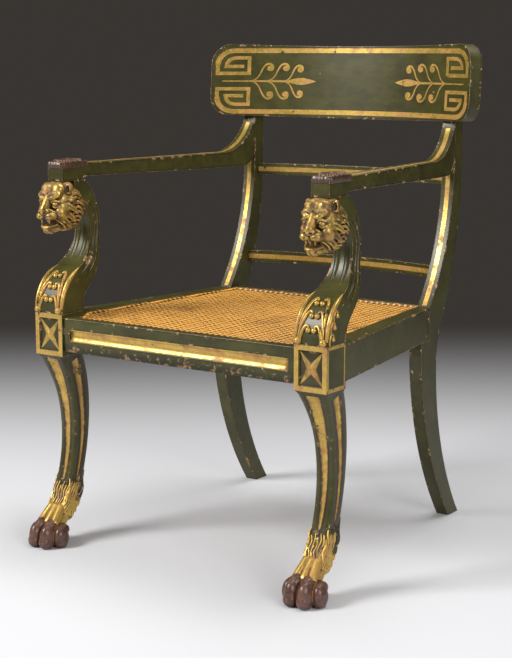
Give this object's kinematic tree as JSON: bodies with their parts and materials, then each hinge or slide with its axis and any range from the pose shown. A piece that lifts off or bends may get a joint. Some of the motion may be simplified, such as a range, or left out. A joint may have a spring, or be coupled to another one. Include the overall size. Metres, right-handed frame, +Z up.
{
  "type": "armchair",
  "caption": "Painted and gilded open armchair with a curved tablet crest, lion-mask arm supports, hollow sabre legs with paw feet and a caned seat.",
  "frame": {"origin": "on the floor under the middle of the chair's bounding box", "axes": "+Z up, +Y towards the back of the chair, +X to the right of someone facing the chair"},
  "size_m": [0.5946, 0.6389, 0.854],
  "materials": {
    "painted_wood": "worn dark olive green paint with gilt lines on beech",
    "gilt_carving": "rubbed gilding on carved wood with dark recesses",
    "bronzed_carving": "bronzed carved wood with traces of gilding",
    "cane": "honey-coloured split cane, six-way weave",
    "bare_beech": "bare aged beech",
    "screw_steel": "darkened steel wood screws"
  },
  "bodies": {
    "root": {"arm_cap_left": "bronzed_carving", "arm_cap_right": "bronzed_carving", "arm_dowels": "bare_beech", "arm_left": "painted_wood", "arm_right": "painted_wood", "arm_support_left": "painted_wood", "arm_support_right": "painted_wood", "brace_screws": "screw_steel", "cane_binding": "cane", "cane_seat": "cane", "corner_brace_front_left": "bare_beech", "corner_brace_front_right": "bare_beech", "corner_brace_rear_left": "bare_beech", "corner_brace_rear_right": "bare_beech", "crest_screws": "screw_steel", "crest_tablet": "painted_wood", "front_leg_left": "painted_wood", "front_leg_right": "painted_wood", "front_seat_rail": "painted_wood", "lion_mask_left": "gilt_carving", "lion_mask_right": "gilt_carving", "lower_back_rail": "painted_wood", "rear_leg_left": "painted_wood", "rear_leg_right": "painted_wood", "rear_seat_rail": "painted_wood", "side_seat_rail_left": "painted_wood", "side_seat_rail_right": "painted_wood", "support_dowels": "bare_beech", "upper_back_rail": "painted_wood"}
  },
  "joints": []
}
